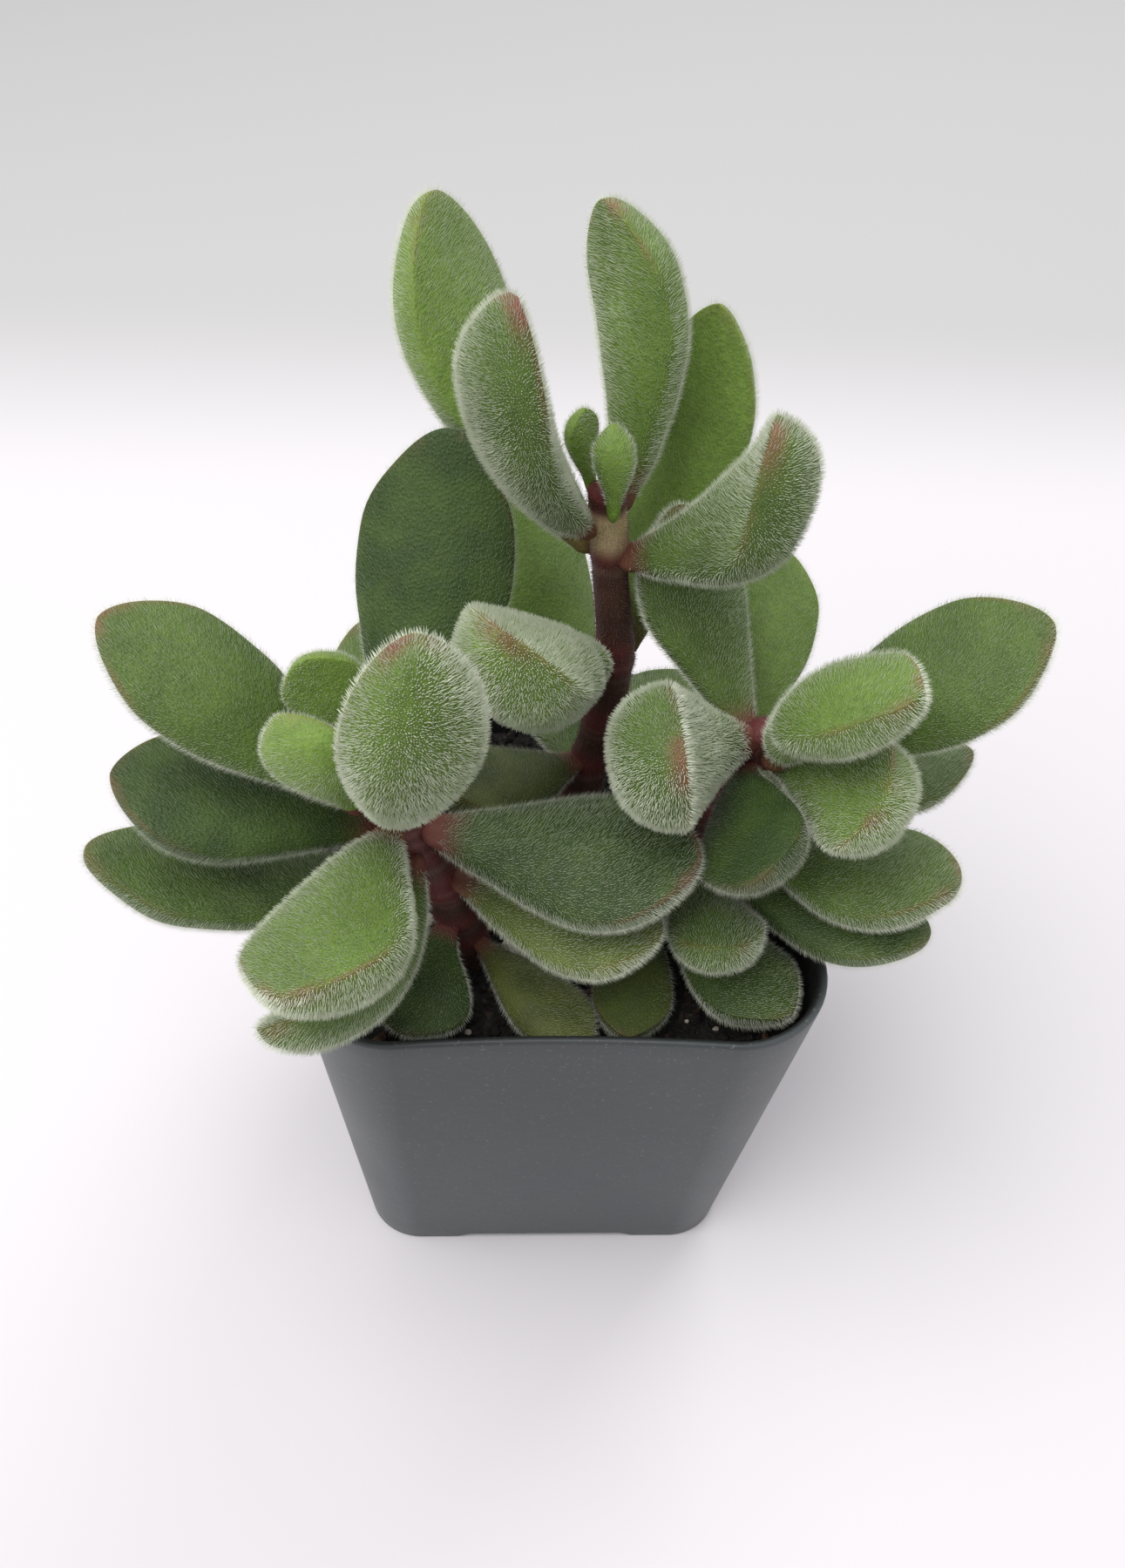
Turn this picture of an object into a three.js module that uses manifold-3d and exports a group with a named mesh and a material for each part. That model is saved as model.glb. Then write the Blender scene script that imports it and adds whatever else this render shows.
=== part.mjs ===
// A fuzzy-leaved crassula with three rooted stems in a square plastic nursery pot.
// Millimetres, +Z up. The origin is the middle of the pot's footprint, on the surface that it stands on.
// -Y is the front of the pot and +X its right side. Angles are in degrees.
import * as THREE from "three";
import { mergeVertices } from "three/addons/utils/BufferGeometryUtils.js";
import Module from "manifold-3d";

const wasm = await Module();
wasm.setup();

// ---- Driving dimensions ----------------------------------------------------------------------

// Pot: a tapered square with rounded corners, with low feet at its corners.
const potTopWidth = 57;
const potFootWidth = 45;
const potHeight = 53;
const potWall = 1.1;
const potFloor = 1.6;
const potTopCorner = 10.5;
const potFootCorner = 6.5;
const wallBow = 0.7; // how far the middle of each wall leans in at the rim
const footHeight = 1.2; // height of the notch between two feet
const footNotchWidth = 24;
const footNotchDepth = 5; // how far a notch runs in under the floor
const drainRadius = 3;
const drainInset = 11; // from the pot's axis to each drain hole, along X and along Y

// Soil: fills the pot to a little under the rim.
const soilDepthBelowRim = 9;
const soilMound = 2; // how much higher the soil stands in the middle than at the wall
const soilBump = 0.7; // height of the lumps in its surface

// Clearance between two pieces that touch.
const gap = 0.3;

// Stems are rooted this deep in the soil.
const rootDepth = 14;

// Leaves.
const petioleShare = 0.36; // width of the leaf's foot, as a share of its widest part
const footDepth = 0.5; // thickness of the leaf's foot, as a share of its thickest part
const upperShare = 0.36; // share of a leaf's thickness that lies above its margins

const soilLevel = potHeight - soilDepthBelowRim;

// ---- Materials -------------------------------------------------------------------------------

const plastic = new THREE.MeshStandardMaterial({ color: 0x4b5154, roughness: 0.45, metalness: 0 });
const earth = new THREE.MeshStandardMaterial({ color: 0x1d1714, roughness: 0.95, metalness: 0 });
const bark = new THREE.MeshStandardMaterial({ color: 0x5c2b27, roughness: 0.7, metalness: 0 });
const leafSkin = new THREE.MeshStandardMaterial({ color: 0x5f8a4a, roughness: 0.75, metalness: 0 });
const whiteGrain = new THREE.MeshStandardMaterial({ color: 0xe4ded2, roughness: 0.9, metalness: 0 });

// ---- Shape helpers ---------------------------------------------------------------------------

const radians = THREE.MathUtils.degToRad;

// A closed surface through rings of equally many points, with a fan to a middle point at each end.
function loft(rings, first, last) {
  const sides = rings[0].length;
  const points = [first, ...rings.flat(), last];
  const index = [];
  for (let j = 0; j < sides; j++) {
    const next = (j + 1) % sides;
    index.push(0, 1 + next, 1 + j);
    for (let k = 0; k + 1 < rings.length; k++) {
      const low = 1 + k * sides;
      const high = low + sides;
      index.push(low + j, low + next, high + next);
      index.push(low + j, high + next, high + j);
    }
    const top = 1 + (rings.length - 1) * sides;
    index.push(top + j, top + next, points.length - 1);
  }
  return new THREE.BufferGeometry().setFromPoints(points).setIndex(index);
}

// The geometry as a manifold-3d solid.
function solid(geometry) {
  const bare = geometry.clone();
  bare.deleteAttribute("normal");
  bare.deleteAttribute("uv");
  const merged = mergeVertices(bare, 1e-4);
  return new wasm.Manifold(
    new wasm.Mesh({
      numProp: 3,
      vertProperties: new Float32Array(merged.attributes.position.array),
      triVerts: new Uint32Array(merged.index.array),
    }),
  );
}

// A manifold-3d solid back as a geometry.
function geometryOf(manifold) {
  const mesh = manifold.getMesh();
  return new THREE.BufferGeometry()
    .setAttribute("position", new THREE.BufferAttribute(mesh.vertProperties, 3))
    .setIndex(new THREE.BufferAttribute(mesh.triVerts, 1));
}

const object = new THREE.Group();

function addMesh(name, geometry, material) {
  const mesh = new THREE.Mesh(geometry, material);
  mesh.name = name;
  object.add(mesh);
  return mesh;
}

// ---- Pot -------------------------------------------------------------------------------------

const cornerSteps = 4;
const sideSteps = 4;

// A level outline of the pot at height z: a square with round corners and sides that bow in.
function potRing(z, width, corner, bow) {
  const half = width / 2;
  const flat = half - corner;
  const ring = [];
  for (let quarter = 0; quarter < 4; quarter++) {
    const turn = (quarter * Math.PI) / 2;
    for (let i = 0; i <= cornerSteps; i++) {
      const a = ((i / cornerSteps) * Math.PI) / 2;
      ring.push([flat + corner * Math.cos(a), flat + corner * Math.sin(a), turn]);
    }
    for (let i = 1; i < sideSteps; i++) {
      const along = 1 - (2 * i) / sideSteps;
      ring.push([flat * along, half - bow * (1 - along * along), turn]);
    }
  }
  return ring.map(([x, y, turn]) =>
    new THREE.Vector3(x, y, z).applyAxisAngle(new THREE.Vector3(0, 0, 1), turn),
  );
}

// The pot's outline at height z, moved in by inset. The wall is straight from foot to rim.
function potOutline(z, inset) {
  const t = z / potHeight;
  const width = THREE.MathUtils.lerp(potFootWidth, potTopWidth, t);
  const corner = THREE.MathUtils.lerp(potFootCorner, potTopCorner, t);
  return potRing(z, width - 2 * inset, Math.max(corner - inset, 0.5), wallBow * t * t);
}

// A block with the pot's taper between two heights.
function potBlock(low, high, inset) {
  const levels = [low, (low + high) / 2, high];
  return loft(
    levels.map((z) => potOutline(z, inset)),
    new THREE.Vector3(0, 0, low),
    new THREE.Vector3(0, 0, high),
  );
}

// A notch under the middle of the wall that faces turn, which leaves a foot at each corner.
function footNotch(turn) {
  const notch = new THREE.Shape();
  const half = footNotchWidth / 2;
  notch.moveTo(-half, -1);
  notch.lineTo(half, -1);
  notch.lineTo(half, 0);
  notch.lineTo(half - 2 * footHeight, footHeight);
  notch.lineTo(-half + 2 * footHeight, footHeight);
  notch.lineTo(-half, 0);
  return new THREE.ExtrudeGeometry(notch, { depth: potFootWidth, bevelEnabled: false, steps: 1 })
    .rotateX(Math.PI / 2)
    .translate(0, footNotchDepth - potFootWidth / 2, 0)
    .rotateZ(turn);
}

function drainHole(x, y) {
  return new THREE.CylinderGeometry(drainRadius, drainRadius, 20, 16)
    .rotateX(Math.PI / 2)
    .translate(x, y, 0);
}

const floorTop = footHeight + potFloor;

function makePot() {
  let shell = solid(potBlock(0, potHeight, 0)).subtract(
    solid(potBlock(floorTop, potHeight * 1.02, potWall)),
  );
  for (let side = 0; side < 4; side++)
    shell = shell.subtract(solid(footNotch((side * Math.PI) / 2)));
  for (const x of [-drainInset, drainInset])
    for (const y of [-drainInset, drainInset]) shell = shell.subtract(solid(drainHole(x, y)));
  return geometryOf(shell);
}

addMesh("pot", makePot(), plastic);

// ---- Stems -----------------------------------------------------------------------------------

const stemSides = 8;
const rootTaper = 0.7; // radius at the root's end, as a share of the radius at the soil line
const tipDome = 0.8; // height of the rounded tip, as a share of its radius
const stemStep = 3; // length of stem between two rings

// Each stem runs through these points, from the soil line up. Heights are above the soil line, and
// the radii are at the soil line and at the top.
const stems = {
  main: {
    points: [[1.5, 7, 0], [2.5, 6.2, 10], [4.4, 5.6, 24], [4.9, 5, 33], [3.6, 5, 44], [2.6, 5, 54]],
    foot: 2.3,
    top: 1.7,
  },
  left: {
    points: [[-9.6, -10.5, 0], [-11.2, -12, 9], [-14, -13.2, 19], [-17.2, -14.2, 28], [-19.2, -16.8, 37]],
    foot: 2.4,
    top: 1.8,
  },
  right: {
    points: [[9, -5, 0], [11, -5.5, 9], [14.5, -5.5, 19], [17.2, -5.5, 28], [19.4, -7, 34]],
    foot: 2.3,
    top: 1.7,
  },
};

// A point given with its height above the soil line.
function aboveSoil([x, y, height]) {
  return new THREE.Vector3(x, y, soilLevel + height);
}

for (const stem of Object.values(stems)) {
  stem.curve = new THREE.CatmullRomCurve3(stem.points.map(aboveSoil));
  stem.length = stem.curve.getLength();
}

// The stem's middle and radius at a height along it, measured from the soil line.
function stemAt(stem, height) {
  const t = THREE.MathUtils.clamp(height / stem.length, 0, 1);
  return {
    centre: stem.curve.getPointAt(t),
    direction: stem.curve.getTangentAt(t),
    radius: THREE.MathUtils.lerp(stem.foot, stem.top, t),
  };
}

// A stem from its root end up to its tip, fattened by clearance where it cuts its own socket.
function stemGeometry(stem, clearance) {
  const steps = Math.round(stem.length / stemStep);
  const foot = stem.curve.getPointAt(0);
  const levels = [];
  for (let i = 0; i <= steps; i++) levels.push(stemAt(stem, (i / steps) * stem.length));
  const root = foot.clone().setZ(foot.z - rootDepth - clearance);
  levels.unshift({ centre: root, radius: stem.foot * rootTaper });
  const rings = levels.map(({ centre, radius }) => {
    const ring = [];
    for (let j = 0; j < stemSides; j++) {
      const a = (j / stemSides) * 2 * Math.PI;
      const reach = radius + clearance;
      ring.push(new THREE.Vector3(Math.cos(a) * reach, Math.sin(a) * reach, 0).add(centre));
    }
    return ring;
  });
  const tip = levels[levels.length - 1].centre.clone();
  tip.z += tipDome * stem.top;
  return loft(rings, root.clone(), tip);
}

for (const [name, stem] of Object.entries(stems))
  addMesh(name + "_stem", stemGeometry(stem, 0), bark);

// ---- Leaves ----------------------------------------------------------------------------------

// Rings along a leaf: the share of its length, of its width and of its thickness.
const leafRings = [
  [0, petioleShare, footDepth],
  [0.13, petioleShare * 1.2, 0.62],
  [0.32, 0.7, 0.84],
  [0.52, 0.96, 1],
  [0.7, 1, 0.98],
  [0.86, 0.8, 0.76],
  [0.96, 0.42, 0.4],
];

// One side of a leaf's section, from margin to margin: across, then up over the face.
const faceAcross = [0.7, 0, -0.7];
const faceUp = [0.74, 1, 0.74];

/**
 * A leaf that grows from a stem, up millimetres along it, and reaches to its tip. Its middle sags
 * by bow towards its underside, so that it leaves the stem flatter than it ends. roll turns it
 * about the straight line from its foot to its tip.
 */
function leafGeometry(stem, { up, tip, bow, width, thick, roll }) {
  const { centre, direction, radius } = stemAt(stem, up);
  const end = aboveSoil(tip);
  const chord = end.clone().sub(centre).normalize();
  const side = new THREE.Vector3(-chord.y, chord.x, 0).normalize().applyAxisAngle(chord, radians(roll));
  const under = side.clone().cross(chord);
  const bend = centre.clone().lerp(end, 0.5).addScaledVector(under, 2 * bow);
  const leaving = bend.clone().sub(centre).normalize();
  const outward = leaving.clone().setZ(0).normalize();
  const lean = direction.dot(outward) / direction.z;
  const section = (middle, normal, wide, deep) => {
    const across = (width / 2) * wide;
    const above = thick * deep * upperShare;
    const below = thick * deep * (1 - upperShare);
    const place = (x, y) =>
      middle.clone().addScaledVector(side, x * across).addScaledVector(normal, y);
    return [
      place(-1, 0),
      ...faceAcross.map((x, i) => place(-x, -faceUp[i] * below)),
      place(1, 0),
      ...faceAcross.map((x, i) => place(x, faceUp[i] * above)),
    ];
  };

  // The foot stands off by its edge that comes nearest to the stem.
  const footNormal = leaving.clone().cross(side).normalize();
  const footEdge = section(new THREE.Vector3(), footNormal, petioleShare, footDepth);
  const tilt = Math.max(...footEdge.map((p) => p.z * lean - p.dot(outward)));
  const foot = centre.clone().addScaledVector(outward, radius + gap + tilt);

  const spine = new THREE.QuadraticBezierCurve3(foot, bend, end);
  const rings = leafRings.map(([share, wide, deep]) => {
    const normal = spine.getTangentAt(share).cross(side).normalize();
    return section(spine.getPointAt(share), normal, wide, deep);
  });
  return loft(rings, foot, end);
}

// The leaves of each stem, from its tip down. A pair grows from one level, and the next pair below
// it grows crosswise. Leaves are numbered by their pair and named by the side that they reach to.
const leaves = {
  main: {
    tip_left: { up: 55.5, tip: [-0.1, 8, 61.2], bow: 0.8, width: 3.6, thick: 2.4, roll: 0 },
    tip_right: { up: 55.5, tip: [2.7, 4.5, 61.8], bow: 0.8, width: 4, thick: 2.4, roll: 0 },
    left_1: { up: 51.5, tip: [-8, -4, 78.6], bow: 3, width: 12, thick: 6.3, roll: -15 },
    right_1: { up: 51.5, tip: [2.1, 18, 77], bow: 2.7, width: 11.5, thick: 6.5, roll: -62 },
    left_2: { up: 47.5, tip: [-15.3, 21.3, 74.9], bow: 3, width: 14.5, thick: 7.5, roll: 10 },
    right_2: { up: 47.5, tip: [16, -8, 69], bow: 4, width: 13.2, thick: 7.5, roll: 35 },
    left_3: { up: 34.5, tip: [-8.8, -14.6, 51.4], bow: 1.3, width: 13, thick: 9.6, roll: -10 },
    right_3: { up: 33, tip: [14, 21, 65], bow: 3, width: 12, thick: 6, roll: 0 },
    left_4: { up: 24, tip: [-6, 27, 38], bow: 2, width: 12, thick: 6, roll: 0 },
    right_4: { up: 24.5, tip: [15, 4.5, 23], bow: 0, width: 8, thick: 5, roll: 0 },
    left_5: { up: 17, tip: [-14, -4.5, 22], bow: 1, width: 12, thick: 6, roll: 0 },
    right_5: { up: 17, tip: [16.5, 20, 15.2], bow: 1, width: 12, thick: 6, roll: -4 },
    back_6: { up: 11, tip: [0, 29, 14], bow: 1, width: 11, thick: 6, roll: 0 },
  },
  left: {
    tip_back: { up: 39.5, tip: [-25.3, -13, 48.5], bow: 1.2, width: 8, thick: 3.6, roll: -55 },
    tip_front: { up: 38, tip: [-26.9, -19.9, 47.2], bow: 1, width: 8.8, thick: 4, roll: 55 },
    left_1: { up: 33, tip: [-44, -9.5, 49.2], bow: -1.4, width: 12.3, thick: 6.2, roll: -22 },
    right_1: { up: 38.4, tip: [-14.4, -28.5, 63.6], bow: 2.8, width: 12, thick: 7.5, roll: 0 },
    front_2: { up: 30, tip: [-25.6, -39.5, 31.6], bow: 0, width: 15, thick: 8.4, roll: 20 },
    back_2: { up: 31, tip: [-12.4, 9.2, 57.8], bow: 2.4, width: 15.5, thick: 6.5, roll: 0 },
    left_3: { up: 28, tip: [-44.5, -14.5, 33.5], bow: 0, width: 13.5, thick: 6.5, roll: -10 },
    right_3: { up: 28, tip: [12.5, -19.4, 27.4], bow: 1.5, width: 14.8, thick: 8, roll: 10 },
    front_4: { up: 24, tip: [-29, -34.5, 19.5], bow: 3, width: 13.5, thick: 6.5, roll: 50 },
    back_4: { up: 24, tip: [-21.5, 10.5, 32], bow: 1, width: 11, thick: 6, roll: 0 },
    left_5: { up: 19, tip: [-48, -17, 25], bow: 2, width: 12, thick: 6, roll: 0 },
    right_5: { up: 19, tip: [9.5, -20.5, 17], bow: 1, width: 12.5, thick: 6.5, roll: 0 },
    front_6: { up: 11, tip: [-17, -25, 6], bow: 0, width: 11, thick: 5.5, roll: 0 },
    right_7: { up: 7, tip: [2.6, -25, 4], bow: 0, width: 8, thick: 5, roll: 0 },
    back_5: { up: 17, tip: [-22, 8, 20], bow: 1, width: 11, thick: 6, roll: 0 },
  },
  right: {
    right_1: { up: 35.6, tip: [29.2, -21.3, 51], bow: -3, width: 11, thick: 7.5, roll: 20 },
    left_1: { up: 35, tip: [6.9, -23.3, 45.6], bow: 3, width: 13.4, thick: 9, roll: -60 },
    back_2: { up: 34, tip: [9.8, 9.8, 48.8], bow: 1.8, width: 11.5, thick: 6, roll: 0 },
    front_2: { up: 30.6, tip: [17, -24.2, 29.4], bow: 0, width: 11.5, thick: 6.2, roll: 38 },
    right_3: { up: 30, tip: [46, -5.2, 46.8], bow: 1.5, width: 13.8, thick: 6.5, roll: 25 },
    front_3: { up: 32.8, tip: [28.6, -22.4, 39], bow: 2, width: 11.6, thick: 7.5, roll: 45 },
    right_4: { up: 25, tip: [45, 1, 22], bow: 1, width: 11, thick: 5.5, roll: 0 },
    back_4: { up: 27.5, tip: [23.4, 18, 37], bow: 1, width: 12, thick: 6, roll: 0 },
    right_5: { up: 22, tip: [39.5, -18.5, 23], bow: 2, width: 13.5, thick: 6.5, roll: 0 },
    front_6: { up: 16, tip: [38, -19, 14.5], bow: 1, width: 12, thick: 6, roll: 0 },
    left_6: { up: 13, tip: [17, -23.5, 18], bow: 1, width: 9.5, thick: 6, roll: 0 },
    front_7: { up: 7, tip: [24, -23, 6], bow: 0, width: 11, thick: 6, roll: 0 },
    left_7: { up: 5, tip: [6.5, -25, 5], bow: 0, width: 8.5, thick: 5, roll: 0 },
    back_5: { up: 18, tip: [25, 13, 14], bow: 1, width: 11, thick: 6, roll: 0 },
  },
};

for (const [stem, grown] of Object.entries(leaves))
  for (const [place, leaf] of Object.entries(grown))
    addMesh(stem + "_" + place, leafGeometry(stems[stem], leaf), leafSkin);

// ---- Soil ------------------------------------------------------------------------------------

// Height of the soil's surface: a low mound with bumps.
function soilHeight(x, y) {
  const across = Math.min(1, Math.hypot(x, y) / (potTopWidth / 2));
  const bumps = Math.sin(0.5 * x + 1) * Math.cos(0.45 * y) + 0.5 * Math.sin(0.9 * y - 0.6 * x);
  return soilLevel + soilMound * (1 - across * across) + soilBump * bumps * (1 - across);
}

// White grains that lie half sunk in the soil: middle, and radius.
const grainTriangleLevel = 1;
const grainRise = 0.25; // how far a grain's middle stands above the surface, as a share of its radius
const grains = [
  [-7.2, -7, 1.4],
  [-5.1, -10.6, 1.5],
  [-15, -7, 1.3],
  [-15.2, -11, 1.2],
  [-3, 13, 1.4],
  [14, 9, 1.3],
];

function grainGeometry([x, y, radius], clearance) {
  return new THREE.IcosahedronGeometry(radius + clearance, grainTriangleLevel)
    .rotateZ(x + y)
    .translate(x, y, soilHeight(x, y) + grainRise * radius);
}

grains.forEach((grain, i) => addMesh("perlite_" + (i + 1), grainGeometry(grain, 0), whiteGrain));

function makeSoil() {
  const inset = potWall + gap;
  const bottom = floorTop + gap;
  const wallRing = potOutline(soilLevel, inset);
  const topRings = [1, 0.8, 0.58, 0.34, 0.14].map((share) =>
    wallRing.map((p) => new THREE.Vector3(p.x * share, p.y * share, soilHeight(p.x * share, p.y * share))),
  );
  const body = loft(
    [potOutline(bottom, inset), ...topRings],
    new THREE.Vector3(0, 0, bottom),
    new THREE.Vector3(0, 0, soilHeight(0, 0)),
  );
  let soil = solid(body);
  for (const stem of Object.values(stems)) soil = soil.subtract(solid(stemGeometry(stem, gap)));
  for (const grain of grains) soil = soil.subtract(solid(grainGeometry(grain, gap)));
  return geometryOf(soil);
}

addMesh("soil", makeSoil(), earth);

export default object;
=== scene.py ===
"""A fuzzy-leaved crassula in a small square nursery pot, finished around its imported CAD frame.

Metres, +Z up, with the pot's footprint centred on the origin. -Y is the front of the pot and +X its
right side. Each leaf is a smooth skin lofted over its CAD solid, under a coat of short white hairs.
"""

import math
from collections import deque

import bmesh
import bpy
import numpy as np
from mathutils import Matrix, Vector, noise


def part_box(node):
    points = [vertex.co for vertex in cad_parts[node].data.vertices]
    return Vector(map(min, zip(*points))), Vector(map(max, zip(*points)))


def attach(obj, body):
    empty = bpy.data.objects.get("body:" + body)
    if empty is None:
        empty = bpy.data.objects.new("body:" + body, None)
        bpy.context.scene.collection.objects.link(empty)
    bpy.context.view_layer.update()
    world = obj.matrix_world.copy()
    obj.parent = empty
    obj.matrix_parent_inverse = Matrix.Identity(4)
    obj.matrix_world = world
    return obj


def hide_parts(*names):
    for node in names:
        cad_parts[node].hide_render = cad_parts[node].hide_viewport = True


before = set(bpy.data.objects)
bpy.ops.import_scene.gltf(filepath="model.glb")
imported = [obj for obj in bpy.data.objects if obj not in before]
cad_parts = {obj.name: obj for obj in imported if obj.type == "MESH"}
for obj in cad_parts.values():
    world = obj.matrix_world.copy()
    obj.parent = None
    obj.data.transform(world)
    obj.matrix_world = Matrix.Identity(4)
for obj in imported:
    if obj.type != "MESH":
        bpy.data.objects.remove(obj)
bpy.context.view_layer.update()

MM = 0.001
STEMS = ("main", "left", "right")
BODY = "root"


def in_scene(name, data):
    """A new object in the scene."""
    piece = bpy.data.objects.new(name, data)
    bpy.context.scene.collection.objects.link(piece)
    return piece


# ---- Camera ------------------------------------------------------------------------------------

CAMERA_PLACE = Vector((-10.0, -116.4, 187.2)) * MM
CAMERA_FORWARD = Vector((0.058, 0.680, -0.731)).normalized()
CAMERA_RIGHT = Vector((0.998, -0.032, 0.050)).normalized()
CAMERA_LENS = 35.6  # in millimetres, as is the sensor
CAMERA_SENSOR = 36.0


def make_camera():
    """Looks down on the plant from in front, close enough to show its hairs."""
    data = bpy.data.cameras.new("camera")
    data.lens = CAMERA_LENS
    data.sensor_width = CAMERA_SENSOR
    data.clip_start = 1 * MM
    camera = in_scene("camera", data)
    up = CAMERA_RIGHT.cross(CAMERA_FORWARD).normalized()
    right = CAMERA_FORWARD.cross(up)
    turn = Matrix((right, up, -CAMERA_FORWARD)).transposed().to_4x4()
    camera.matrix_world = Matrix.Translation(CAMERA_PLACE) @ turn
    bpy.context.scene.camera = camera


make_camera()
bpy.context.scene.view_settings.view_transform = "Standard"

# ---- Mesh helpers ------------------------------------------------------------------------------


def mesh_of(name, points, faces, attributes=None):
    """A smooth mesh with its faces outward. Attributes hold one number or vector for each point."""
    points = np.asarray(points, float)
    mesh = bpy.data.meshes.new(name)
    mesh.from_pydata(points.tolist(), [], faces)
    for key, values in (attributes or {}).items():
        values = np.asarray(values, np.float32)
        kind, field = ("FLOAT_VECTOR", "vector") if values.ndim == 2 else ("FLOAT", "value")
        mesh.attributes.new(key, kind, "POINT").data.foreach_set(field, values.ravel())
    shape = bmesh.new()
    shape.from_mesh(mesh)
    if shape.calc_volume(signed=True) < 0:
        bmesh.ops.reverse_faces(shape, faces=shape.faces)
    shape.to_mesh(mesh)
    shape.free()
    mesh.shade_smooth()
    return mesh


def loft_faces(rings, sides):
    """Faces over rings of points between a first and a last pole: the poles are the last two points."""
    faces = []
    first, last = rings * sides, rings * sides + 1
    for j in range(sides):
        k = (j + 1) % sides
        faces.append((first, j, k))
        for i in range(rings - 1):
            low, high = i * sides, (i + 1) * sides
            faces.append((low + j, high + j, high + k, low + k))
        top = (rings - 1) * sides
        faces.append((top + k, top + j, last))
    return faces


def loft(name, rings, first, last, attributes=None):
    """A closed mesh through rings of equally many points. Attributes hold rows like the rings."""
    rings = np.asarray(rings, float)
    count, sides = rings.shape[:2]
    points = np.concatenate([rings.reshape(-1, 3), [first, last]])
    rows = {}
    for key, values in (attributes or {}).items():
        values = np.asarray(values, float)
        ends = [values[0].mean(axis=0), values[-1].mean(axis=0)]
        rows[key] = np.concatenate([values.reshape((count * sides,) + values.shape[2:]), ends])
    return mesh_of(name, points, loft_faces(count, sides), rows)


def smooth_between(knots, values, at):
    """Values given at knots, carried along a smooth curve to the places between them."""
    knots, values, at = np.asarray(knots), np.asarray(values, float), np.asarray(at)
    slopes = np.gradient(values, knots, axis=0)
    k = np.clip(np.searchsorted(knots, at, side="right") - 1, 0, len(knots) - 2)
    span = knots[k + 1] - knots[k]
    t = (at - knots[k]) / span
    shape = (-1,) + (1,) * (values.ndim - 1)
    t, span = t.reshape(shape), span.reshape(shape)
    return (
        (2 * t**3 - 3 * t**2 + 1) * values[k]
        + (t**3 - 2 * t**2 + t) * span * slopes[k]
        + (3 * t**2 - 2 * t**3) * values[k + 1]
        + (t**3 - t**2) * span * slopes[k + 1]
    )


def distance(a, b):
    """How far apart two points are."""
    return np.linalg.norm(a - b)


def bell(x):
    """1 at zero, falling to nothing past about 2."""
    return np.exp(-np.square(x))


def ramp(x, low, high):
    """0 below low, 1 above high, and a soft step between."""
    t = np.clip((np.asarray(x, float) - low) / (high - low), 0, 1)
    return t * t * (3 - 2 * t)


def lumps(points, size, seed):
    """Smooth noise from -1 to 1 at each point, with lumps of about that size."""
    shift = Vector((seed * 3.7, seed * 1.9, seed * 5.3))
    return np.array([noise.noise(Vector(p) / size + shift) for p in np.asarray(points)])


def place(name, mesh, material, slot, *nodes):
    """Puts a finished mesh in the scene as a piece that stands for these CAD nodes."""
    mesh.materials.clear()
    mesh.materials.append(material)
    settle(in_scene(name, mesh), slot, *nodes)


def settle(piece, slot, *nodes):
    """Fixes a piece to the plant's one body, in place of these CAD nodes. Its slot is not used."""
    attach(piece, BODY)
    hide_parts(*nodes)


# ---- Node helpers ------------------------------------------------------------------------------


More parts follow.
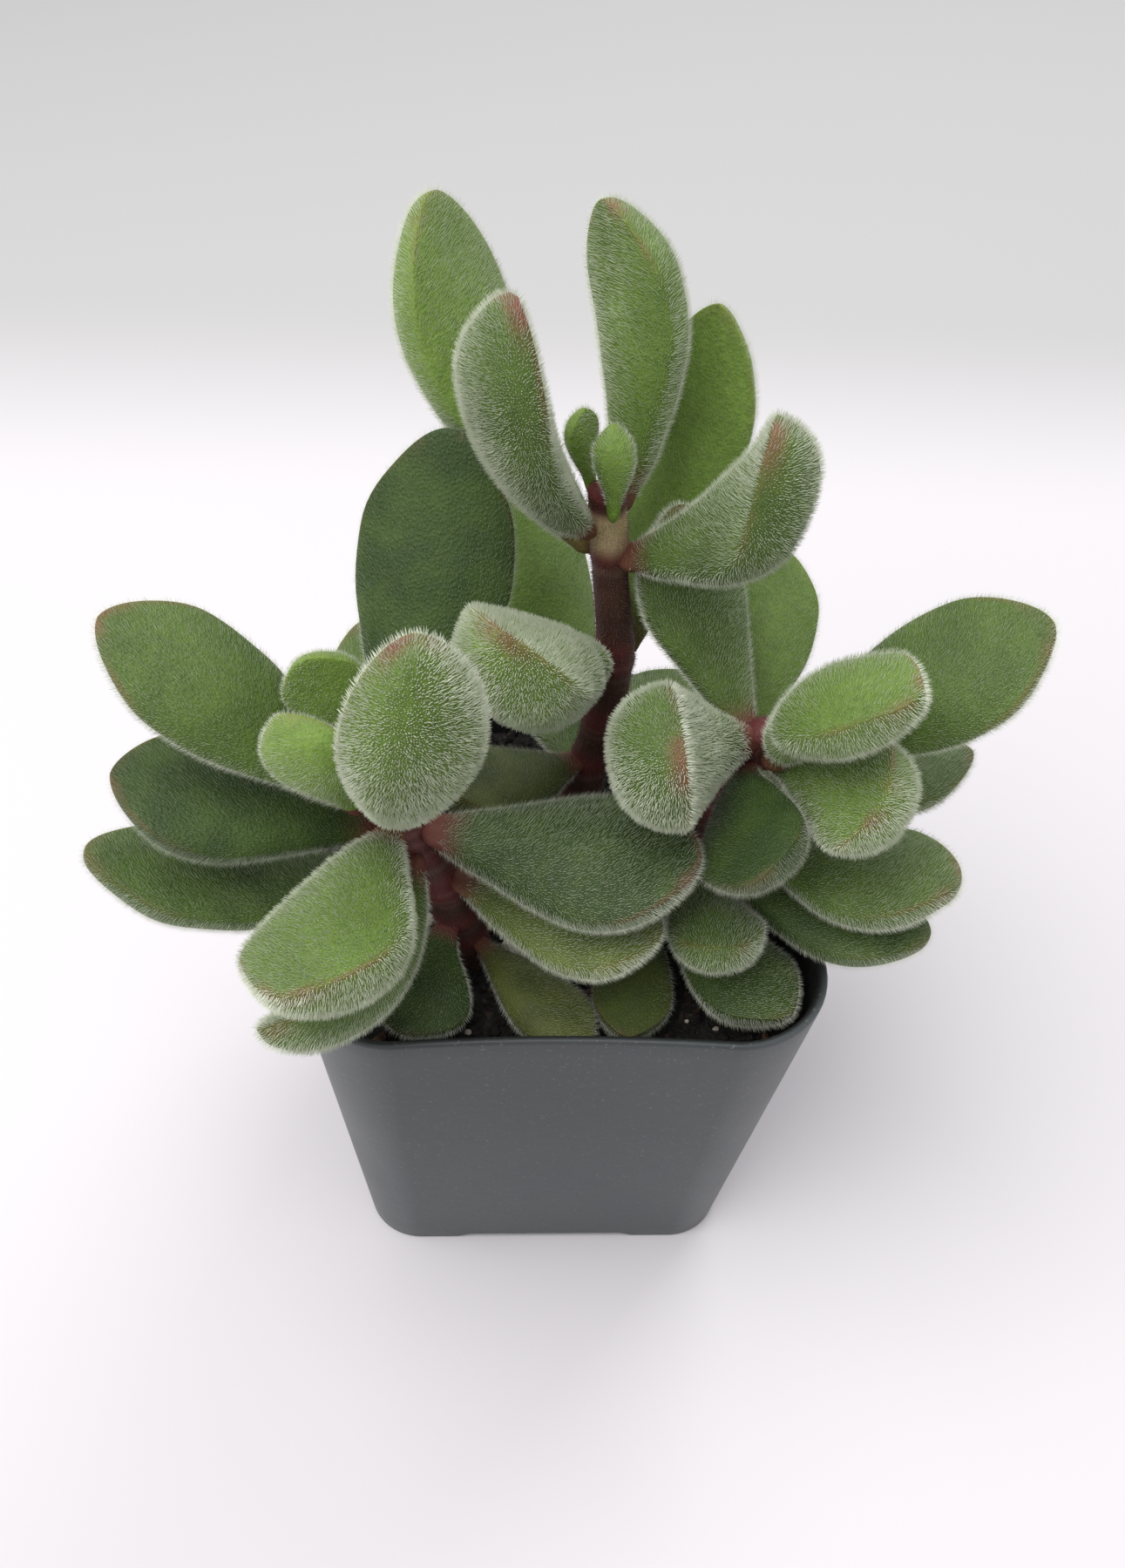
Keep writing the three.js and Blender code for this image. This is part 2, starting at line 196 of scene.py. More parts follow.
class Graph:
    """Adds nodes to a tree and links them, so that a graph reads from its inputs to its output."""

    def __init__(self, tree):
        self.tree = tree

    def add(self, kind, settings=None, **inputs):
        node = self.tree.nodes.new(kind)
        for key, value in (settings or {}).items():
            setattr(node, key, value)
        for key, value in inputs.items():
            self.feed(node, key, value)
        return node

    def feed(self, node, key, value):
        """Feeds an input by its name, or by its number as i0, i1 and so on."""
        if key[0] == "i" and key[1:].isdigit():
            socket = node.inputs[int(key[1:])]
        else:
            socket = node.inputs[key.replace("_", " ")]
        if isinstance(value, bpy.types.NodeSocket):
            self.tree.links.new(value, socket)
        else:
            socket.default_value = value

    def math(self, operation, a, b, c=0.0, clamp=False):
        settings = {"operation": operation, "use_clamp": clamp}
        return self.add("ShaderNodeMath", settings, i0=a, i1=b, i2=c).outputs[0]

    def scaled(self, vector, share):
        """A vector times a number."""
        node = self.add("ShaderNodeVectorMath", {"operation": "SCALE"}, i0=vector, Scale=share)
        return node.outputs[0]

    def sum(self, first, second):
        """The sum of two vectors."""
        node = self.add("ShaderNodeVectorMath", {"operation": "ADD"}, i0=first, i1=second)
        return node.outputs[0]

    def field(self, name, kind="FLOAT"):
        """An attribute of the mesh, inside a Geometry Nodes tree."""
        return self.add("GeometryNodeInputNamedAttribute", {"data_type": kind}, Name=name).outputs[0]

    def random_number(self, seed, low, high):
        """A number drawn at random for each point."""
        settings = {"data_type": "FLOAT"}
        return self.add("FunctionNodeRandomValue", settings, Seed=seed, i2=low, i3=high).outputs[1]

    def random_vector(self, seed, low, high):
        """A vector drawn at random for each point."""
        settings = {"data_type": "FLOAT_VECTOR"}
        return self.add("FunctionNodeRandomValue", settings, Seed=seed, i0=low, i1=high).outputs[0]

    def step(self, value, low, high):
        """0 below low and 1 above high, softly. High may lie below low."""
        settings = {"interpolation_type": "SMOOTHSTEP"}
        node = self.add("ShaderNodeMapRange", settings, Value=value, From_Min=low, From_Max=high)
        return node.outputs[0]

    def blend(self, share, first, second):
        """First where share is 0 and second where it is 1, both colours."""
        settings = {"data_type": "RGBA", "clamp_factor": True}
        return self.add("ShaderNodeMix", settings, i0=share, i6=first, i7=second).outputs[2]

    def number(self, name):
        """An attribute of the mesh that holds one number for each point."""
        return self.add("ShaderNodeAttribute", {"attribute_name": name}).outputs["Fac"]

    def place(self):
        """The place on the piece, in metres."""
        return self.add("ShaderNodeTexCoord").outputs["Object"]

    def group(self, group, **inputs):
        """The outputs of a shared effect, placed with its own values."""
        return self.add("ShaderNodeGroup", {"node_tree": group}, **inputs).outputs


def rgb(red, green, blue):
    """A solid colour."""
    return (red, green, blue, 1.0)


def node_group(name, kind, inputs, outputs):
    """An empty node group with these sockets, and its graph, input sockets and output node."""
    tree = bpy.data.node_groups.new(name, kind)
    for label, socket_kind, value in inputs:
        socket = tree.interface.new_socket(label, in_out="INPUT", socket_type="NodeSocket" + socket_kind)
        if value is not None:
            socket.default_value = value
    for label, socket_kind in outputs:
        tree.interface.new_socket(label, in_out="OUTPUT", socket_type="NodeSocket" + socket_kind)
    graph = Graph(tree)
    return tree, graph, graph.add("NodeGroupInput").outputs, graph.add("NodeGroupOutput")


# ---- Shared effects ----------------------------------------------------------------------------


def make_mottle():
    """Cloudy variation from 0 to 1, with patches of the given size in metres and finer ones inside."""
    tree, graph, given, out = node_group(
        "mottle",
        "ShaderNodeTree",
        [("Size", "Float", 4 * MM), ("Contrast", "Float", 1.0)],
        [("Share", "Float")],
    )
    scale = graph.math("DIVIDE", 1.0, given["Size"])
    cloud = graph.add("ShaderNodeTexNoise", Vector=graph.place(), Scale=scale, Detail=3.0, Roughness=0.55)
    centred = graph.math("SUBTRACT", cloud.outputs[0], 0.5)
    graph.feed(out, "Share", graph.math("MULTIPLY_ADD", centred, given["Contrast"], 0.5, clamp=True))
    return tree


def make_pimples():
    """Height from 0 to 1 of small round bumps, such as the feet of hairs or the pores of a grain."""
    tree, graph, given, out = node_group(
        "pimples",
        "ShaderNodeTree",
        [("Size", "Float", 0.3 * MM)],
        [("Height", "Float")],
    )
    scale = graph.math("DIVIDE", 1.0, given["Size"])
    cells = graph.add("ShaderNodeTexVoronoi", Vector=graph.place(), Scale=scale)
    graph.feed(out, "Height", graph.step(cells.outputs["Distance"], 0.7, 0.1))
    return tree


mottle = make_mottle()
pimples = make_pimples()


def new_material(name):
    """A material with a Principled BSDF, and its graph and that shader."""
    material = bpy.data.materials.new(name)
    material.use_nodes = True
    graph = Graph(material.node_tree)
    shader = next(n for n in material.node_tree.nodes if n.type == "BSDF_PRINCIPLED")
    return material, graph, shader


def add_bump(graph, shader, height, depth):
    """Lets a height from 0 to 1 raise the surface by up to this depth."""
    bump = graph.add("ShaderNodeBump", Height=height, Distance=depth)
    graph.feed(shader, "Normal", bump.outputs[0])


# ---- Materials ---------------------------------------------------------------------------------

# The deep green also stands as painted shade for leaves that lie in shadow.
LEAF_DEEP_AND_SHADED_GREEN = rgb(0.028, 0.056, 0.007)
LEAF_FRESH_GREEN = rgb(0.205, 0.330, 0.050)
LEAF_GRAIN_GREEN = rgb(0.018, 0.050, 0.010)
LEAF_YELLOW = rgb(0.420, 0.380, 0.090)
LEAF_RIM_RED = rgb(0.190, 0.050, 0.040)
LEAF_FOOT_RED = rgb(0.170, 0.042, 0.040)
RIM_FROM, RIM_FULL = 0.75 * MM, 0.1 * MM  # distances from the margin, for the red line along it
APEX_SPOT_FROM, APEX_SPOT_FULL = 2.4 * MM, 0.2 * MM  # the same for the red spot at the tip


def make_leaf_skin():
    """Green flesh: red at the foot, and a thin brown-red line along the margins and at the apex."""
    material, graph, shader = new_material("leaf_skin")
    along, edge = graph.number("along"), graph.number("edge")
    patches = graph.group(mottle, Size=5 * MM, Contrast=1.2)["Share"]
    grain = graph.group(mottle, Size=0.7 * MM, Contrast=1.6)["Share"]
    drift = graph.math("MULTIPLY_ADD", patches, 0.5, -0.25)
    # A low tone darkens the green, partly as painted shade on leaves that lie in shadow.
    fresh_and_lit = graph.math("ADD", graph.number("tone"), drift, clamp=True)
    green = graph.blend(fresh_and_lit, LEAF_DEEP_AND_SHADED_GREEN, LEAF_FRESH_GREEN)
    green = graph.blend(graph.math("MULTIPLY", grain, 0.45), green, LEAF_GRAIN_GREEN)
    yellow = graph.math("MULTIPLY", graph.number("yellowing"), patches)
    green = graph.blend(yellow, green, LEAF_YELLOW)

    line = graph.step(edge, RIM_FROM, RIM_FULL)
    line = graph.math("MULTIPLY", line, graph.step(along, 0.55, 0.85))
    near_margin = graph.step(edge, APEX_SPOT_FROM, APEX_SPOT_FULL)
    apex = graph.math("MULTIPLY", graph.step(along, 0.88, 0.99), near_margin)
    rim = graph.math("MAXIMUM", graph.math("MULTIPLY", line, 0.5), graph.math("MULTIPLY", apex, 0.9))
    rim = graph.math("MULTIPLY", rim, graph.number("blush"))
    rim = graph.math("MULTIPLY", rim, graph.step(patches, 0.25, 0.65))
    colour = graph.blend(rim, green, LEAF_RIM_RED)

    # The small leaves of a growing tip have no red foot.
    foot = graph.step(graph.math("MULTIPLY_ADD", patches, 0.10, along), 0.20, 0.03)
    foot = graph.math("MULTIPLY", foot, graph.step(graph.number("tone"), 0.94, 0.80))
    colour = graph.blend(graph.math("MULTIPLY", foot, 0.85), colour, LEAF_FOOT_RED)
    graph.feed(shader, "Base_Color", colour)
    shader.inputs["Roughness"].default_value = 0.6
    shader.inputs["Specular IOR Level"].default_value = 0.35
    shader.inputs["Subsurface Weight"].default_value = 0.2
    shader.inputs["Subsurface Radius"].default_value = (0.6, 1.0, 0.25)
    shader.inputs["Subsurface Scale"].default_value = 1.5 * MM
    add_bump(graph, shader, graph.group(pimples, Size=0.35 * MM)["Height"], 0.05 * MM)
    return material


def make_hair(name, dark, light):
    """Dull hairs, whose colour drifts from one tuft to the next."""
    material, graph, shader = new_material(name)
    tuft = graph.group(mottle, Size=2 * MM, Contrast=1.5)["Share"]
    graph.feed(shader, "Base_Color", graph.blend(tuft, dark, light))
    shader.inputs["Roughness"].default_value = 0.55
    shader.inputs["Sheen Weight"].default_value = 0.2
    return material


BARK_DARK = rgb(0.028, 0.009, 0.007)
BARK_LIGHT = rgb(0.085, 0.034, 0.022)
BARK_FIBRE = rgb(0.030, 0.010, 0.010)
JOINT_RED = rgb(0.125, 0.020, 0.022)
NECK_CREAM = rgb(0.520, 0.400, 0.230)
SCAR_PALE = rgb(0.420, 0.260, 0.220)


def make_bark():
    """Stem skin: dark red-brown, redder at the leaf joints, cream on the neck, with pale leaf scars."""
    material, graph, shader = new_material("stem_bark")
    joint, neck = graph.number("joint"), graph.number("neck")
    streaks = graph.add("ShaderNodeMapping", Vector=graph.place(), Scale=(1.0, 1.0, 0.18))
    fibre = graph.add("ShaderNodeTexNoise", Vector=streaks.outputs[0], Scale=1600.0, Detail=3.0)
    patches = graph.group(mottle, Size=4 * MM, Contrast=1.4)["Share"]
    skin = graph.blend(patches, BARK_DARK, BARK_LIGHT)
    skin = graph.blend(graph.math("MULTIPLY", fibre.outputs[0], 0.6), skin, BARK_FIBRE)
    skin = graph.blend(graph.math("MULTIPLY", joint, 0.85), skin, JOINT_RED)
    skin = graph.blend(neck, skin, NECK_CREAM)
    skin = graph.blend(graph.number("scar"), skin, SCAR_PALE)
    graph.feed(shader, "Base_Color", skin)
    shader.inputs["Roughness"].default_value = 0.6
    add_bump(graph, shader, fibre.outputs[0], 0.12 * MM)
    return material


POT_GREY = rgb(0.033, 0.039, 0.043)
# paler plastic, also the colour of the painted bounce light towards the foot
POT_PALE_AND_BOUNCE_LIT_GREY = rgb(0.076, 0.086, 0.093)
# painted shade for the inside of the pot
POT_INSIDE_PAINTED_SHADE = rgb(0.012, 0.012, 0.013)
DUST = rgb(0.300, 0.290, 0.270)
BOUNCE_LIT_FROM, BOUNCE_LIT_FULL = 45 * MM, 5 * MM  # heights on the wall, painted paler towards the foot as if lit by light bounced up from the floor


def make_plastic():
    """Slate-grey moulded plastic: paler round the corners, painted bounce light towards the foot, painted
    shade inside, and specks of dust.
    """
    material, graph, shader = new_material("pot_plastic")
    corner, inside = graph.number("corner"), graph.number("inside")
    patches = graph.group(mottle, Size=12 * MM, Contrast=1.0)["Share"]
    specks = graph.group(mottle, Size=0.4 * MM, Contrast=2.5)["Share"]
    pale = graph.math("MULTIPLY_ADD", corner, 0.75, graph.math("MULTIPLY", patches, 0.25), clamp=True)
    height = graph.add("ShaderNodeSeparateXYZ", Vector=graph.place()).outputs["Z"]
    # Painted bounce light from the floor: the wall pales towards the foot.
    painted_bounce_light = graph.math("MULTIPLY", graph.step(height, BOUNCE_LIT_FROM, BOUNCE_LIT_FULL), 0.5)
    pale = graph.math("ADD", pale, painted_bounce_light, clamp=True)
    grey = graph.blend(pale, POT_GREY, POT_PALE_AND_BOUNCE_LIT_GREY)
    # Painted shade: the inside of the pot is darker than its outside.
    grey = graph.blend(inside, grey, POT_INSIDE_PAINTED_SHADE)
    dust = graph.math("MULTIPLY", graph.step(specks, 0.80, 1.0), 0.25)
    graph.feed(shader, "Base_Color", graph.blend(dust, grey, DUST))
    graph.feed(shader, "Roughness", graph.math("MULTIPLY_ADD", patches, 0.15, 0.36))
    moulding = graph.group(mottle, Size=1.5 * MM, Contrast=1.0)["Share"]
    add_bump(graph, shader, moulding, 0.03 * MM)
    return material


def make_earth(name, dark, light, light_from):
    """Damp potting mix or a crumb of it: almost black, with lighter fibres and grit."""
    material, graph, shader = new_material(name)
    patches = graph.group(mottle, Size=2.2 * MM, Contrast=2.0)["Share"]
    grains = graph.group(mottle, Size=0.5 * MM, Contrast=2.2)["Share"]
    share = graph.step(graph.math("MULTIPLY", patches, grains), light_from, light_from + 0.4)
    graph.feed(shader, "Base_Color", graph.blend(share, dark, light))
    graph.feed(shader, "Roughness", graph.math("MULTIPLY_ADD", grains, 0.4, 0.55))
    add_bump(graph, shader, grains, 0.35 * MM)
    return material


def make_perlite():
    """Chalky cream grains with fine pores."""
    material, graph, shader = new_material("perlite")
    stain = graph.group(mottle, Size=1.2 * MM, Contrast=1.8)["Share"]
    cream = graph.blend(stain, rgb(0.460, 0.380, 0.290), rgb(0.780, 0.730, 0.640))
    pores = graph.group(pimples, Size=0.45 * MM)["Height"]
    graph.feed(shader, "Base_Color", cream)
    shader.inputs["Roughness"].default_value = 0.9
    add_bump(graph, shader, pores, 0.15 * MM)
    return material


leaf_skin = make_leaf_skin()
leaf_hair = make_hair("leaf_hair", rgb(0.500, 0.540, 0.400), rgb(0.800, 0.830, 0.720))
stem_hair = make_hair("stem_hair", rgb(0.095, 0.040, 0.028), rgb(0.190, 0.095, 0.070))
bark = make_bark()
plastic = make_plastic()
earth = make_earth("soil_mix", rgb(0.006, 0.005, 0.004), rgb(0.060, 0.040, 0.028), 0.30)
soil_crumb = make_earth("soil_crumb", rgb(0.008, 0.006, 0.005), rgb(0.090, 0.062, 0.042), 0.30)
bark_chip = make_earth("bark_chip", rgb(0.045, 0.020, 0.011), rgb(0.190, 0.105, 0.060), 0.20)
perlite = make_perlite()

# ---- Reading the CAD solids --------------------------------------------------------------------

POLE_EDGES = 8
SAME_CORNER = 0.001 * MM


def rings_of(node, towards_first):
    """The rings of a lofted CAD solid, in order, with its two poles.

    Its poles are the two corners where eight edges meet, and each ring is one edge further from the
    first pole. Towards_first gives a number that is lower for the pole to start from.
    """
    shape = bmesh.new()
    shape.from_mesh(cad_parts[node].data)
    bmesh.ops.remove_doubles(shape, verts=shape.verts, dist=SAME_CORNER)
    poles = [v for v in shape.verts if len(v.link_edges) == POLE_EDGES]
    poles.sort(key=lambda v: towards_first(v.co))
    steps = {poles[0]: 0}
    queue = deque([poles[0]])
    while queue:
        corner = queue.popleft()
        for edge in corner.link_edges:
            other = edge.other_vert(corner)
            if other not in steps:
                steps[other] = steps[corner] + 1
                queue.append(other)
    rings = []
    for level in range(1, steps[poles[1]]):
        members = {v for v, step in steps.items() if step == level}
        ring = [min(members, key=lambda v: v.index)]
        while len(ring) < len(members):
            near = [e.other_vert(ring[-1]) for e in ring[-1].link_edges]
            ring.append(next(v for v in near if v in members and v not in ring))
        rings.append([np.array(v.co) for v in ring])
    ends = np.array(poles[0].co), np.array(poles[1].co)
    shape.free()
    return rings, *ends


# ---- Hairs -------------------------------------------------------------------------------------

HAIR_SIDES = 3
SHORTEST_HAIR, LONGEST_HAIR = 0.6, 1.15  # as shares of the tree's Length


def make_hair_coat():
    """Thin cones that stand evenly on a mesh and lean the way its grow attribute points.

    They grow only where the mesh's along attribute is above 0.
    """
    tree, graph, given, out = node_group(
        "hair_coat",
        "GeometryNodeTree",
        [
            ("Geometry", "Geometry", None),
            ("Spacing", "Float", 0.2 * MM),
            ("Length", "Float", 0.7 * MM),
            ("Width", "Float", 0.09 * MM),
            ("Lean", "Float", 0.8),
            ("Ruffle", "Float", 0.3),
            ("Seed", "Int", 1),
            ("Material", "Material", None),
        ],
        [("Geometry", "Geometry")],
    )
    crowd = graph.math("DIVIDE", 2.0, graph.math("POWER", given["Spacing"], 2.0))
    points = graph.add(
        "GeometryNodeDistributePointsOnFaces",
        {"distribute_method": "POISSON"},
        Mesh=given["Geometry"],
        Selection=graph.math("GREATER_THAN", graph.field("along"), 0.0),
        Distance_Min=given["Spacing"],
        Density_Max=crowd,
        Seed=given["Seed"],
    )
    leaning = graph.scaled(graph.field("grow", "FLOAT_VECTOR"), given["Lean"])
    stray = graph.random_vector(given["Seed"], (-1.0, -1.0, -1.0), (1.0, 1.0, 1.0))
    direction = graph.sum(graph.sum(points.outputs["Normal"], leaning), graph.scaled(stray, given["Ruffle"]))
    turn = graph.add("FunctionNodeAlignRotationToVector", {"axis": "Z"}, Vector=direction)
    cone = graph.add(
        "GeometryNodeMeshCone",
        {"fill_type": "NGON"},
        Vertices=HAIR_SIDES,
        Radius_Top=0.0,
        Radius_Bottom=graph.math("MULTIPLY", given["Width"], 0.5),
        Depth=given["Length"],
    )
    hairs = graph.add(
        "GeometryNodeInstanceOnPoints",
        Points=points.outputs["Points"],
        Instance=cone.outputs["Mesh"],
        Rotation=turn.outputs[0],
        Scale=graph.random_number(given["Seed"], SHORTEST_HAIR, LONGEST_HAIR),
    )
    real = graph.add("GeometryNodeRealizeInstances", Geometry=hairs.outputs[0])
    painted = graph.add("GeometryNodeSetMaterial", Geometry=real.outputs[0], Material=given["Material"])
    graph.feed(out, "Geometry", painted.outputs[0])
    return tree


hair_coat = make_hair_coat()


def finished_mesh(piece):
    """The plain mesh that a piece's modifiers make."""
    piece = piece.evaluated_get(bpy.context.evaluated_depsgraph_get())
    return bpy.data.meshes.new_from_object(piece)


def grown(name, mesh, tree, **values):
    """The plain mesh that a node tree makes on a mesh, as an object in the scene."""
    piece = in_scene(name, mesh)
    modifier = piece.modifiers.new("nodes", "NODES")
    modifier.node_group = tree
    sockets = {s.name: s.identifier for s in tree.interface.items_tree if s.in_out == "INPUT"}
    for key, value in values.items():
        modifier[sockets[key.replace("_", " ")]] = value
    result = finished_mesh(piece)
    piece.modifiers.clear()
    piece.data = result
    return piece


# ---- Stems -------------------------------------------------------------------------------------

STEM_SIDES = 20
STEM_STEP = 0.5 * MM
BARK_SEED = 3
JOINT_HALF = 1.3 * MM  # how far a leaf joint's swelling reaches along the stem
JOINT_SWELL = 0.10  # the swelling, as a share of the stem's radius
SCAR_BELOW = 1.7 * JOINT_HALF  # how far under each joint an old leaf's scar rings the stem
SCAR_HALF = 0.12 * JOINT_HALF
SCAR_SHARE = 0.6  # how much the scar covers the bark's own colour
NECK_REACH = 7.5 * MM  # the pale neck under the main stem's growing tip
NECK_COLLAR = 2.6 * MM  # the red collar between the neck and the tip's small leaves
BARK_LUMP, BARK_ROUGH = 2.2 * MM, 0.12 * MM  # the size of the bark's lumps, and how far they stand out
BURIED = 2 * MM  # hairs start this far under the soil's highest point

stem_rings = {}
for stem in STEMS:
    rings, root, top = rings_of(stem + "_stem", lambda p: p.z)
    stem_rings[stem] = (np.array(rings), root, top)


def stem_distance(stem, point):
    """How far a point is from the middle of a stem."""
    middles = stem_rings[stem][0].mean(axis=1)
    return np.linalg.norm(middles - np.array(point), axis=1).min()


leaf_nodes = {
    stem: [n for n in sorted(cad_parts) if n.startswith(stem + "_") and not n.endswith("_stem")]
    for stem in STEMS
}
leaf_solids = {}
for stem in STEMS:
    for node in leaf_nodes[stem]:
        leaf_solids[node] = rings_of(node, lambda p, s=stem: stem_distance(s, p))


def make_bark_mesh(stem):
    """A stem's closed bark, swollen where leaves leave it, with the attributes that colour it."""
    rings, root, top = stem_rings[stem]
    middles = rings.mean(axis=1)
    radii = np.linalg.norm(rings - middles[:, None], axis=2).mean(axis=1)
    run = np.concatenate([[0], np.cumsum(np.linalg.norm(np.diff(middles, axis=0), axis=1))])
    steps = int(run[-1] / STEM_STEP)
    at = np.linspace(0, run[-1], steps + 1)
    centre = smooth_between(run, middles, at)
    radius = smooth_between(run, radii, at)
    soil_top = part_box("soil")[1].z

    joints = []
    for node in leaf_nodes[stem]:
        foot = leaf_solids[node][1]
        joints.append(at[np.linalg.norm(centre - foot, axis=1).argmin()])
    joint = np.max([bell((at - j) / JOINT_HALF) for j in joints], axis=0)
    scar = np.max([bell((at - j + SCAR_BELOW) / SCAR_HALF) for j in joints], axis=0)
    radius = radius * (1 + JOINT_SWELL * joint)
    neck = np.zeros(len(at))
    if stem == "main":
        neck = ramp(at, run[-1] - NECK_REACH, run[-1] - 0.6 * NECK_REACH)
        neck *= ramp(at, run[-1] - 0.5 * NECK_COLLAR, run[-1] - NECK_COLLAR)

    angles = np.arange(STEM_SIDES) / STEM_SIDES * 2 * math.pi
    around = np.stack([np.cos(angles), np.sin(angles), np.zeros(STEM_SIDES)], axis=1)
    grid = centre[:, None] + around[None] * radius[:, None, None]
    uneven = lumps(grid.reshape(-1, 3), BARK_LUMP, BARK_SEED).reshape(grid.shape[:2])
    grid = grid + around[None] * (uneven * BARK_ROUGH)[..., None]
    direction = np.gradient(centre, axis=0)
    direction /= np.linalg.norm(direction, axis=1)[:, None]
    wide = np.ones((1, STEM_SIDES))
    above_soil = np.where(centre[:, 2] > soil_top - BURIED, 1.0, -1.0)
    return loft(
        stem + "_stem_bark",
        grid,
        root,
        top,
        {
            "joint": joint[:, None] * wide,
            "scar": SCAR_SHARE * scar[:, None] * wide,
            "neck": neck[:, None] * wide,
            "along": above_soil[:, None] * wide,
            "grow": np.repeat(direction[:, None], STEM_SIDES, axis=1),
        },
    )


def make_stem(stem):
    """A stem's bark and its short brown hairs."""
    mesh = make_bark_mesh(stem)
    place(stem + "_stem_bark", mesh, bark, "stem", stem + "_stem")
    hairs = grown(
        stem + "_stem_hairs",
        mesh,
        hair_coat,
        Spacing=0.22 * MM,
        Length=0.38 * MM,
        Width=0.07 * MM,
        Lean=0.1,
        Ruffle=0.35,
        Seed=len(stem),
        Material=stem_hair,
    )
    settle(hairs, "stem", stem + "_stem")


for stem in STEMS:
    make_stem(stem)

# ---- Leaves ------------------------------------------------------------------------------------

LEAF_ROWS = 34
SECTION_TURNS = (0, 5, 12, 22, 36, 54, 72)  # degrees from a margin, closest together beside it
RING_SHARES = (0, 0.13, 0.32, 0.52, 0.7, 0.86, 0.96)  # where the CAD rings lie along a leaf
APEX_POINT = 1.15  # 1 rounds the tip's outline like an ellipse, and more points it
APEX_BLUNT = 0.85  # the same for its depth, where less makes it blunter
APEX_DRAW, APEX_DRAW_FROM = 0.16, 0.72  # how much the outline draws in to the very tip, and from where
APEX_RISE = 0.55  # how far the margins rise to the upper face at the tip, as a share of its depth
APEX_RISE_FROM, APEX_RISE_FULL = 0.5, 0.97
APEX_FLAT, APEX_FLAT_FROM, APEX_FLAT_FULL = 0.75, 0.5, 0.95  # how much the upper face flattens there
UPPER_DOME = 1.45  # 1 rounds the upper face like an ellipse, and more slopes it down to its margins
LOWER_WIDE, LOWER_STEEP = 2.7, 0.46  # the underside is a full keel with steep sides
CREASE_FROM, CREASE_FULL = 0.15, 0.65  # the section is an ellipse at the foot and creased from here on
FOOT_ROOT = 1.7 * MM  # how far the foot runs back into the stem
FOOT_WAIST = 0.30  # how much the leaf draws in just before the stem
FOOT_WAIST_REACH = 4 * MM
ROOT_ROUNDS = (0.35, 0.70, 0.90, 0.97)  # the root's size, from its end to the foot
ROOT_ALONG = 0.05  # the root's end lies at minus this share of the leaf, and no hair grows below 0
SKIN_LUMP, SKIN_ROUGH = 6 * MM, 0.22 * MM  # the size of the skin's lumps, and how far they stand out

# How fresh each leaf's green is, set low also for leaves that lie in shade, whose darker green is painted
# shade, how red its margins are, how yellow it has gone, and how thick its hairs are at their feet, in
# tenths of a millimetre. Thick hairs make a leaf silvery.
OLD_AND_SHADED, GROWN, FRESH, YOUNG = 0.05, 0.35, 0.60, 0.95
SPARSE, DOWNY, FROSTED = 0.36, 0.58, 1.10
leaf_looks = {
    "main_tip_left": (YOUNG, 0.1, 0, DOWNY),
    "main_tip_right": (YOUNG, 0.1, 0, DOWNY),
    "main_left_1": (GROWN, 1.0, 0, 0.8),
    "main_right_1": (FRESH, 0.8, 0, DOWNY),
    "main_left_2": (0.85, 0.5, 0, DOWNY),
    "main_right_2": (GROWN, 0.8, 0, 0.62),
    "main_left_3": (0.85, 1.0, 0, 1.35),
    "main_right_3": (0.85, 0.3, 0, SPARSE),
    "main_left_4": (0.70, 0.2, 0, SPARSE),
    "main_left_5": (OLD_AND_SHADED, 0.3, 0.2, SPARSE),
    "left_tip_back": (YOUNG, 0.4, 0, DOWNY),
    "left_tip_front": (YOUNG, 0.4, 0, DOWNY),
    "left_left_1": (GROWN, 0.8, 0, 0.45),
    "left_right_1": (0.60, 1.0, 0, 1.30),
    "left_back_2": (OLD_AND_SHADED, 0.3, 0, 0.24),
    "left_front_2": (FRESH, 0.9, 0, 0.95),
    "left_left_3": (OLD_AND_SHADED, 0.5, 0, 0.20),
    "left_right_3": (OLD_AND_SHADED, 0.8, 0, 0.40),
    "left_front_6": (OLD_AND_SHADED, 0.2, 0, SPARSE),
    "left_left_5": (0.20, 0.3, 0, SPARSE),
    "left_right_5": (GROWN, 0.4, 0.2, 0.72),
    "left_right_7": (OLD_AND_SHADED, 0.3, 0.35, 0.28),
    "right_left_7": (0.0, 0.3, 0.15, 0.20),
    "right_right_1": (FRESH, 0.8, 0, 0.62),
    "right_left_1": (GROWN, 0.8, 0, FROSTED),
    "right_front_2": (OLD_AND_SHADED, 0.3, 0, 0.22),
    "right_right_3": (GROWN, 0.6, 0, 0.48),
    "right_front_3": (0.75, 1.0, 0, 0.95),
    "right_back_4": (0.70, 0.2, 0, SPARSE),
    "right_front_6": (0.15, 0.2, 0, 0.28),
    "right_front_7": (0.15, 0.2, 0, 0.48),
}
PLAIN_LEAF = (GROWN, 0.6, 0, DOWNY)

THIN_HAIR_SPACING = 0.19 * MM
THICK_HAIR_SPACING = 0.17 * MM
THICK_FROM = 0.8  # hairs at least this thick stand closer
YOUNG_HAIR_SPACING = 0.16 * MM
HAIR_LENGTH, YOUNG_HAIR_LENGTH = 0.72 * MM, 0.48 * MM


def leaf_rows(node):
    """Middle, half width, upper and lower depth at each ring of a leaf, from its foot to its tip."""
    rows = []
    last_margin = None
    for ring in leaf_solids[node][0]:
        half = len(ring) // 2
        i = max(range(half), key=lambda k: distance(ring[k], ring[k + half]))
        ring = ring[i:] + ring[:i]
        if rows and distance(ring[0], last_margin) > distance(ring[half], last_margin):
            ring = ring[half:] + ring[:half]
        last_margin = ring[0]
        middle = (ring[0] + ring[half]) / 2
        faces = sorted((ring[half // 2] - middle, ring[half + half // 2] - middle), key=np.linalg.norm)
        rows.append((middle, (ring[half] - ring[0]) / 2, faces[0], faces[1]))
    return np.array(rows)


